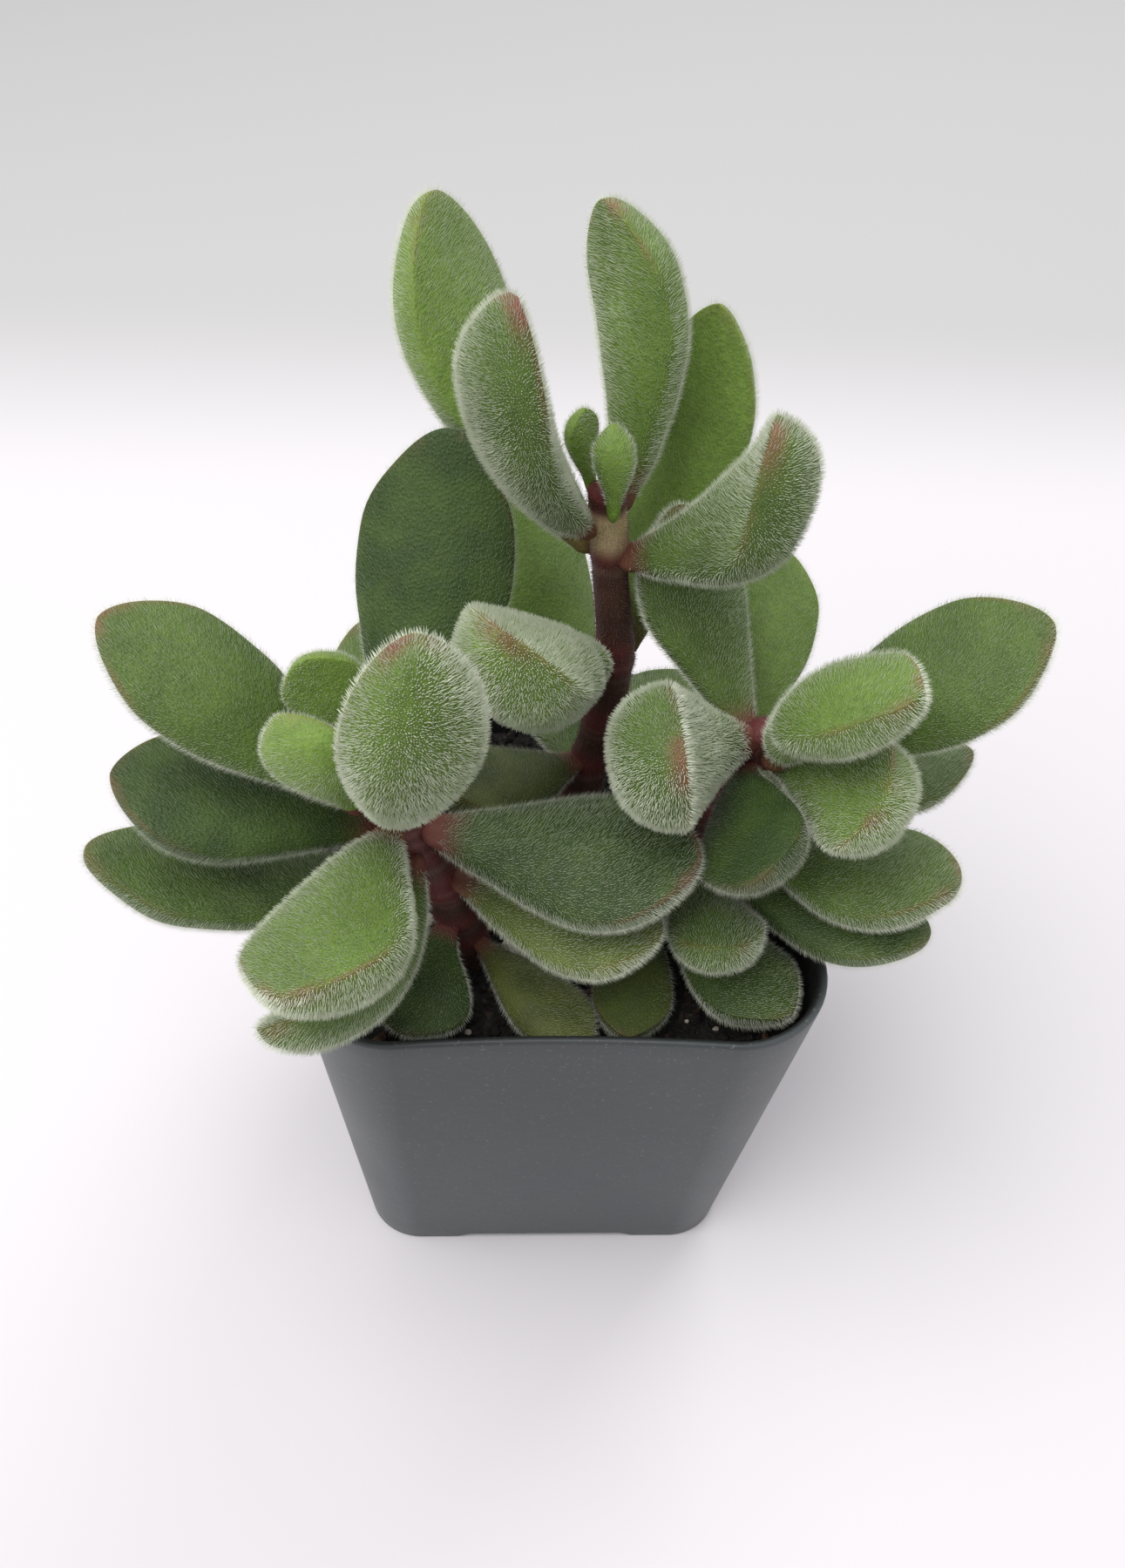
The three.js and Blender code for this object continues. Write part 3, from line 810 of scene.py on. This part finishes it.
def leaf_shape(node):
    """A leaf's rows made smooth and close, with the root that runs into its stem.

    It gives how far each row is along the leaf, then its middle, half width, upper and lower depth, and
    last the leaf's very tip.
    """
    rows, tip = leaf_rows(node), leaf_solids[node][2]
    # Rows crowd towards the tip, where the outline closes like the end of an ellipse.
    turn = np.linspace(0, math.pi / 2, LEAF_ROWS + 1)[:-1]
    turn = np.append(turn, 0.5 * (turn[-1] + math.pi / 2))
    share = np.sin(turn)
    knots = np.append(RING_SHARES, 1.0)
    middle = smooth_between(knots, np.append(rows[:, 0], [tip], axis=0), share)
    sizes = []
    for k, point in ((1, APEX_POINT), (2, APEX_POINT), (3, APEX_BLUNT)):
        full = rows[:, k] / (np.cos(np.arcsin(RING_SHARES)) ** point)[:, None]
        full = np.append(full, full[-1:], axis=0)
        sizes.append(smooth_between(knots, full, share) * (np.cos(turn) ** point)[:, None])
    half, upper, lower = sizes
    half = half * (1 - APEX_DRAW * ramp(share, APEX_DRAW_FROM, 1.0))[:, None]
    depth = smooth_between(RING_SHARES, rows[:, 2], np.minimum(share, RING_SHARES[-3]))
    rise = depth * (APEX_RISE * ramp(share, APEX_RISE_FROM, APEX_RISE_FULL))[:, None]
    middle = middle + rise
    tip = tip + rise[-1]
    lower = lower - rise * (np.cos(turn) ** 0.5)[:, None]
    upper = upper * (1 - APEX_FLAT * ramp(share, APEX_FLAT_FROM, APEX_FLAT_FULL))[:, None]

    length = np.linalg.norm(np.diff(middle, axis=0), axis=1).sum()
    drawn = FOOT_WAIST * (leaf_looks.get(node, PLAIN_LEAF)[0] != YOUNG)
    waist = (1 - drawn * (1 - ramp(share * length, 0, FOOT_WAIST_REACH)))[:, None]
    back = middle[0] - middle[1]
    back /= np.linalg.norm(back)
    reach = FOOT_ROOT * np.linspace(1.0, 0.2, len(ROOT_ROUNDS))
    rounds = np.array(ROOT_ROUNDS)[:, None]
    middle = np.concatenate([middle[0] + back * reach[:, None], middle])
    half, upper, lower = (v * waist for v in (half, upper, lower))
    half, upper, lower = (np.concatenate([v[0] * rounds, v]) for v in (half, upper, lower))
    along = np.concatenate([-ROOT_ALONG * reach / FOOT_ROOT, share])
    return along, middle, half, upper, lower, tip


def leaf_section(creased):
    """A leaf's section at each row: how far across, up and down each of its points lies, from 0 to 1.

    Creased is 0 for an ellipse and 1 for a domed face that meets a keel along sharp margins. The first
    point and the middle one lie on the two margins.
    """
    quarter = np.radians(SECTION_TURNS)
    turn = np.concatenate([quarter, [math.pi / 2], math.pi - quarter[::-1]])
    turn = np.concatenate([turn, 2 * math.pi - turn[1:-1][::-1]])
    across, y = np.cos(turn), np.sin(turn)
    up = np.where(y > 0, np.abs(y) ** (1 + (UPPER_DOME - 1) * creased), 0)
    keel = np.maximum(1 - np.abs(across) ** LOWER_WIDE, 0) ** LOWER_STEEP
    down = np.where(y < 0, np.abs(y) * (1 - creased) + keel * creased, 0)
    return across, up, down


def make_leaf_mesh(node, seed):
    """A closed skin around a leaf's rows, with the attributes that colour it and lay its hairs."""
    along, middle, half, upper, lower, tip = leaf_shape(node)
    across, up, down = leaf_section(ramp(along, CREASE_FROM, CREASE_FULL)[:, None])
    sides = len(across)
    grid = (
        middle[:, None]
        + half[:, None] * across[None, :, None]
        + upper[:, None] * up[..., None]
        + lower[:, None] * down[..., None]
    )
    uneven = lumps(grid.reshape(-1, 3), SKIN_LUMP, seed).reshape(grid.shape[:2])
    out = grid - middle[:, None]
    out /= np.maximum(np.linalg.norm(out, axis=2), 1e-9)[..., None]
    # The foot stays smooth where it meets the stem.
    quiet = ramp(along, 0.02, 0.25)[:, None] * np.ones(sides)
    grid = grid + out * (uneven * quiet * SKIN_ROUGH)[..., None]
    grow = np.gradient(middle, axis=0)
    grow /= np.linalg.norm(grow, axis=1)[:, None]
    wide = np.ones((len(along), sides))
    margins = np.stack([grid[:, 0], grid[:, sides // 2]], axis=1)
    edge = np.linalg.norm(grid[:, :, None] - margins[:, None], axis=3).min(axis=2)
    tone, blush, yellow, _ = leaf_looks.get(node, PLAIN_LEAF)
    return loft(
        node + "_skin",
        grid,
        middle[0],
        tip,
        {
            "along": along[:, None] * wide,
            "edge": edge,
            "tone": tone * wide,
            "blush": blush * wide,
            "yellowing": yellow * wide,
            "grow": np.repeat(grow[:, None], sides, axis=1),
        },
    )


def make_leaf(node, seed):
    """A leaf's skin and its hairs."""
    mesh = make_leaf_mesh(node, seed)
    place(node + "_skin", mesh, leaf_skin, "leaf", node)
    tone, _, _, thickness = leaf_looks.get(node, PLAIN_LEAF)
    young = tone == YOUNG
    spacing = THICK_HAIR_SPACING if thickness >= THICK_FROM else THIN_HAIR_SPACING
    hairs = grown(
        node + "_hairs",
        mesh,
        hair_coat,
        Spacing=YOUNG_HAIR_SPACING if young else spacing,
        Length=YOUNG_HAIR_LENGTH if young else HAIR_LENGTH,
        Width=0.1 * thickness * MM,
        Lean=0.65,
        Ruffle=0.20,
        Seed=seed,
        Material=leaf_hair,
    )
    settle(hairs, "leaf", node)


for stem in STEMS:
    for number, node in enumerate(leaf_nodes[stem]):
        make_leaf(node, 10 * len(stem) + number)

# ---- Pot ---------------------------------------------------------------------------------------

POT_WALL = 1.1 * MM
POT_FLOOR_TOP = 2.8 * MM
POT_TOP_CORNER = 10.5 * MM
POT_FOOT_CORNER = 6.5 * MM
WALL_BOW = 0.7 * MM  # how far the middle of each wall draws in at the rim
NOTCH_WIDTH, NOTCH_HEIGHT, NOTCH_DEPTH = 24 * MM, 1.2 * MM, 5 * MM
DRAIN_RADIUS = 3 * MM
DRAIN_PLACE = 11 * MM  # how far each drain hole is from the middle, both ways
DRAIN_SIDES, DRAIN_REACH = 32, 10 * MM
CORNER_STEPS, SIDE_STEPS = 14, 12
OUTSIDE_STEPS, INSIDE_STEPS, RIM_STEPS = 22, 18, 8
RIM_SHADE_FROM, RIM_SHADE_FULL = 1.2, 2.4  # radians over the rim, where the painted shade of the inside begins
SHARP_EDGE = math.radians(50)  # faces that meet at more than this have a sharp edge

pot_low, pot_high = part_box("pot")
POT_HEIGHT = pot_high.z
POT_TOP_WIDTH = pot_high.x - pot_low.x
POT_FOOT_WIDTH = 2 * max(v.co.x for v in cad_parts["pot"].data.vertices if v.co.z < 0.01 * MM)


def pot_outline(z, inset):
    """A level outline of the pot, moved in by inset, and how far each point is round a corner."""
    t = z / POT_HEIGHT
    half = (POT_FOOT_WIDTH + (POT_TOP_WIDTH - POT_FOOT_WIDTH) * t) / 2 - inset
    corner = max(POT_FOOT_CORNER + (POT_TOP_CORNER - POT_FOOT_CORNER) * t - inset, 0.5 * MM)
    bow = WALL_BOW * t * t
    flat = half - corner
    quarter, bend = [], []
    for i in range(CORNER_STEPS + 1):
        a = i / CORNER_STEPS * math.pi / 2
        quarter.append((flat + corner * math.cos(a), flat + corner * math.sin(a), z))
        bend.append(math.sin(2 * a))
    for i in range(1, SIDE_STEPS):
        along = 1 - 2 * i / SIDE_STEPS
        quarter.append((flat * along, half - bow * (1 - along * along), z))
        bend.append(0.0)
    ring = []
    for side in range(4):
        turn = Matrix.Rotation(side * math.pi / 2, 3, "Z")
        ring += [tuple(turn @ Vector(p)) for p in quarter]
    return ring, bend * 4


def notch_cutter(side):
    """A low wedge under the middle of one wall, which leaves a foot at each corner."""
    half, reach = NOTCH_WIDTH / 2, POT_FOOT_WIDTH
    shoulder = half - 2 * NOTCH_HEIGHT
    profile = [(-half, -1 * MM), (half, -1 * MM), (half, 0), (shoulder, NOTCH_HEIGHT)]
    profile += [(-shoulder, NOTCH_HEIGHT), (-half, 0)]
    inner = NOTCH_DEPTH - POT_FOOT_WIDTH / 2
    points = [(x, inner, z) for x, z in profile] + [(x, inner - reach, z) for x, z in profile]
    count = len(profile)
    faces = [tuple(range(count)), tuple(range(2 * count - 1, count - 1, -1))]
    faces += [(i, i + count, (i + 1) % count + count, (i + 1) % count) for i in range(count)]
    mesh = mesh_of("notch", points, faces)
    mesh.transform(Matrix.Rotation(side * math.pi / 2, 4, "Z"))
    return in_scene("notch", mesh)


def drain_cutter(x, y):
    """An upright rod where a drain hole goes through the floor of the pot."""
    angles = [i / DRAIN_SIDES * 2 * math.pi for i in range(DRAIN_SIDES)]
    circle = [(x + DRAIN_RADIUS * math.cos(a), y + DRAIN_RADIUS * math.sin(a)) for a in angles]
    rings = [[(*spot, z) for spot in circle] for z in (-DRAIN_REACH, DRAIN_REACH)]
    return in_scene("drain", loft("drain", rings, (x, y, -DRAIN_REACH), (x, y, DRAIN_REACH)))


def make_pot():
    """One shell: up the outside, over a rounded rim, down the inside and across the floor."""
    lip = POT_WALL / 2
    # Each row is a height, how far the outline is moved in there, and 0 outside or 1 inside.
    profile = [(0.0, 0.35 * MM, 0), (0.12 * MM, 0.1 * MM, 0)]
    profile += [(z, 0.0, 0) for z in np.linspace(0.4 * MM, POT_HEIGHT - lip, OUTSIDE_STEPS)]
    for i in range(1, RIM_STEPS):
        a = i / RIM_STEPS * math.pi
        inset = lip - lip * math.cos(a)
        # The painted shade of the inside begins partway over the rim.
        within = ramp(a, RIM_SHADE_FROM, RIM_SHADE_FULL)
        profile.append((POT_HEIGHT - lip + lip * math.sin(a), inset, within))
    wall_foot = POT_FLOOR_TOP + 1 * MM
    profile += [(z, POT_WALL, 1) for z in np.linspace(POT_HEIGHT - lip, wall_foot, INSIDE_STEPS)]
    profile.append((POT_FLOOR_TOP + 0.3 * MM, POT_WALL + 0.2 * MM, 1))
    profile.append((POT_FLOOR_TOP, POT_WALL + 0.9 * MM, 1))
    rings, corner, inside = [], [], []
    for z, inset, within in profile:
        ring, bend = pot_outline(z, inset)
        rings.append(ring)
        corner.append(bend)
        inside.append([float(within)] * len(ring))
    attributes = {"corner": corner, "inside": inside}
    shell = in_scene("pot_shell", loft("pot_shell", rings, (0, 0, 0), (0, 0, POT_FLOOR_TOP), attributes))
    cutters = [notch_cutter(side) for side in range(4)]
    places = (-DRAIN_PLACE, DRAIN_PLACE)
    cutters += [drain_cutter(x, y) for x in places for y in places]
    for tool in cutters:
        cut = shell.modifiers.new("cut", "BOOLEAN")
        cut.operation, cut.solver, cut.object = "DIFFERENCE", "EXACT", tool
    result = finished_mesh(shell)
    for obj in (shell, *cutters):
        bpy.data.objects.remove(obj)
    result.name = "pot_shell"
    result.shade_smooth()
    result.set_sharp_from_angle(angle=SHARP_EDGE)
    place("pot_shell", result, plastic, "pot", "pot")


make_pot()

# ---- Soil --------------------------------------------------------------------------------------

SOIL_GAP = 0.3 * MM
SOIL_MOUND = 2 * MM
SOIL_LEVEL = 44 * MM
SOIL_WAVE = 0.7 * MM
SOIL_RINGS = 46
SOIL_SINK = 0.3 * MM  # how far the crumbly top lies under the CAD soil's, on the whole
CLOD_SIZE, CLOD_HEIGHT = 2.6 * MM, 0.75 * MM
CRUMB_SIZE, CRUMB_HEIGHT = 0.7 * MM, 0.5 * MM


def soil_height(x, y):
    """The CAD soil's mound and lumps."""
    across = min(1.0, math.hypot(x, y) / (POT_TOP_WIDTH / 2))
    u, v = x / MM, y / MM
    waves = math.sin(0.5 * u + 1) * math.cos(0.45 * v) + 0.5 * math.sin(0.9 * v - 0.6 * u)
    return SOIL_LEVEL + SOIL_MOUND * (1 - across**2) + SOIL_WAVE * waves * (1 - across)


def make_soil():
    """A plug of potting mix with a crumbly top."""
    inset = POT_WALL + SOIL_GAP
    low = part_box("soil")[0].z
    bottom, _ = pot_outline(low, inset)
    edge, _ = pot_outline(SOIL_LEVEL, inset)
    rings = [bottom]
    tops = [[-1.0] * len(bottom)]
    for share in np.linspace(1, 0.02, SOIL_RINGS):
        ring = []
        for x, y, _ in edge:
            x, y = x * share, y * share
            spot = Vector((x, y, 0))
            clods = noise.fractal(spot / CLOD_SIZE, 0.8, 2.2, 5) * CLOD_HEIGHT
            crumbs = abs(noise.noise(spot / CRUMB_SIZE)) * CRUMB_HEIGHT
            ring.append((x, y, soil_height(x, y) + clods + crumbs - SOIL_SINK))
        rings.append(ring)
        tops.append([1.0 if share < 0.99 else -1.0] * len(ring))
    peak = (0, 0, soil_height(0, 0))
    mesh = loft("soil_mix", rings, (0, 0, low), peak, {"along": tops})
    place("soil_mix", mesh, earth, "soil", "soil")
    return mesh


FULL_TURN = 6.28  # in radians


def make_litter():
    """Lumpy grains that lie on a mesh, turned and sized at random, where along is above 0."""
    tree, graph, given, out = node_group(
        "litter",
        "GeometryNodeTree",
        [
            ("Geometry", "Geometry", None),
            ("Density", "Float", 1e6),
            ("Size", "Float", 1 * MM),
            ("Smallest", "Float", 0.4),
            ("Flatness", "Float", 0.6),
            ("Seed", "Int", 1),
            ("Material", "Material", None),
        ],
        [("Geometry", "Geometry")],
    )
    points = graph.add(
        "GeometryNodeDistributePointsOnFaces",
        Mesh=given["Geometry"],
        Selection=graph.math("GREATER_THAN", graph.field("along"), 0.0),
        Density=given["Density"],
        Seed=given["Seed"],
    )
    ball = graph.add("GeometryNodeMeshIcoSphere", Radius=0.5, Subdivisions=2)
    spot = graph.add("GeometryNodeInputPosition").outputs[0]
    settings = {"noise_dimensions": "4D"}
    cloud = graph.add("ShaderNodeTexNoise", settings, Vector=spot, W=given["Flatness"], Scale=2.6)
    push = graph.math("MULTIPLY_ADD", cloud.outputs[0], 1.1, -0.45)
    moved = graph.scaled(spot, push)
    lumpy = graph.add("GeometryNodeSetPosition", Geometry=ball.outputs[0], Offset=moved)
    squat = graph.add("ShaderNodeCombineXYZ", X=1.0, Y=given["Flatness"], Z=given["Flatness"])
    shaped = graph.add("GeometryNodeTransform", Geometry=lumpy.outputs[0], Scale=squat.outputs[0])
    turn = graph.random_vector(given["Seed"], (0.0, 0.0, 0.0), (FULL_TURN, FULL_TURN, FULL_TURN))
    size = graph.random_number(given["Seed"], given["Smallest"], 1.0)
    grains = graph.add(
        "GeometryNodeInstanceOnPoints",
        Points=points.outputs["Points"],
        Instance=shaped.outputs[0],
        Rotation=turn,
        Scale=graph.math("MULTIPLY", size, given["Size"]),
    )
    real = graph.add("GeometryNodeRealizeInstances", Geometry=grains.outputs[0])
    painted = graph.add("GeometryNodeSetMaterial", Geometry=real.outputs[0], Material=given["Material"])
    graph.feed(out, "Geometry", painted.outputs[0])
    return tree


soil_mesh = make_soil()
litter = make_litter()
# The density is in grains for each square metre.
for name, density, size, smallest, flatness, seed, material in (
    ("soil_crumbs", 0.55e6, 1.9 * MM, 0.25, 0.75, 4, soil_crumb),
    ("bark_chips", 0.045e6, 3.4 * MM, 0.4, 0.4, 9, bark_chip),
    ("soil_grit", 0.03e6, 1.0 * MM, 0.4, 0.8, 12, perlite),
):
    scattered = grown(
        name,
        soil_mesh,
        litter,
        Density=density,
        Size=size,
        Smallest=smallest,
        Flatness=flatness,
        Seed=seed,
        Material=material,
    )
    settle(scattered, "perlite" if material is perlite else "soil", "soil")


GRAIN_SIZE = 0.92  # a grain's ball, as a share of its CAD solid


def make_grain(node, seed):
    """A lump of perlite: a ball with wide and small dents."""
    low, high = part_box(node)
    middle, radius = (low + high) / 2, (high.x - low.x) / 2
    shape = bmesh.new()
    bmesh.ops.create_icosphere(shape, subdivisions=4, radius=radius)
    for corner in shape.verts:
        way = corner.co.normalized()
        dent = 0.22 * noise.noise(way * 1.6 + Vector((seed, 0, 0)))
        dent += 0.08 * noise.noise(way * 5 + Vector((0, seed, 0)))
        corner.co = middle + corner.co * (GRAIN_SIZE + dent)
    mesh = bpy.data.meshes.new(node + "_grain")
    shape.to_mesh(mesh)
    shape.free()
    mesh.shade_smooth()
    place(node + "_grain", mesh, perlite, "perlite", node)


for seed, node in enumerate(n for n in sorted(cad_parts) if n.startswith("perlite_")):
    make_grain(node, 5 * seed + 2)

# ---- Floor and lights --------------------------------------------------------------------------

FLOOR_HALF = 1.5
FLOOR_WHITE = rgb(0.69, 0.665, 0.695)
FLOOR_PAINTED_SHADE_GREY = rgb(0.500, 0.495, 0.500)
FLOOR_SHADE_FROM, FLOOR_SHADE_FULL = 0.13, 0.21  # how far behind the pot the floor turns grey with painted shade
WORLD_STRENGTH = 0.52
LIGHTS_AIM = Vector((0, 0, 0.06))


def make_floor():
    """A plain pale sheet, white round the pot and greyer further off, where painted shade stands for the
    light falling away.
    """
    material, graph, shader = new_material("floor")
    spot = graph.add("ShaderNodeSeparateXYZ", Vector=graph.place())
    # Painted shade: the floor greys further behind the pot.
    far = graph.step(spot.outputs["Y"], FLOOR_SHADE_FROM, FLOOR_SHADE_FULL)
    graph.feed(shader, "Base_Color", graph.blend(far, FLOOR_WHITE, FLOOR_PAINTED_SHADE_GREY))
    shader.inputs["Roughness"].default_value = 0.9
    corners = [(-1, -1), (1, -1), (1, 1), (-1, 1)]
    mesh = bpy.data.meshes.new("floor")
    mesh.from_pydata([(x * FLOOR_HALF, y * FLOOR_HALF, 0) for x, y in corners], [], [(0, 1, 2, 3)])
    mesh.materials.append(material)
    in_scene("floor", mesh)


def add_light(name, location, size, power, colour):
    """A square soft light that faces the middle of the plant."""
    data = bpy.data.lights.new(name, "AREA")
    data.size, data.energy, data.color = size, power, colour
    light = in_scene(name, data)
    light.location = location
    light.rotation_mode = "QUATERNION"
    light.rotation_quaternion = (LIGHTS_AIM - Vector(location)).to_track_quat("-Z", "Y")


def make_world():
    """Even white light from all round."""
    world = bpy.data.worlds.new("studio")
    world.use_nodes = True
    background = world.node_tree.nodes["Background"]
    background.inputs["Color"].default_value = rgb(1.0, 1.0, 1.0)
    background.inputs["Strength"].default_value = WORLD_STRENGTH
    bpy.context.scene.world = world


make_floor()
make_world()
add_light("key", (-0.25, -0.15, 0.65), 0.6, 5.2, (1.0, 0.99, 0.97))
add_light("back", (0.30, 0.45, 0.55), 0.4, 2.0, (0.97, 0.98, 1.0))
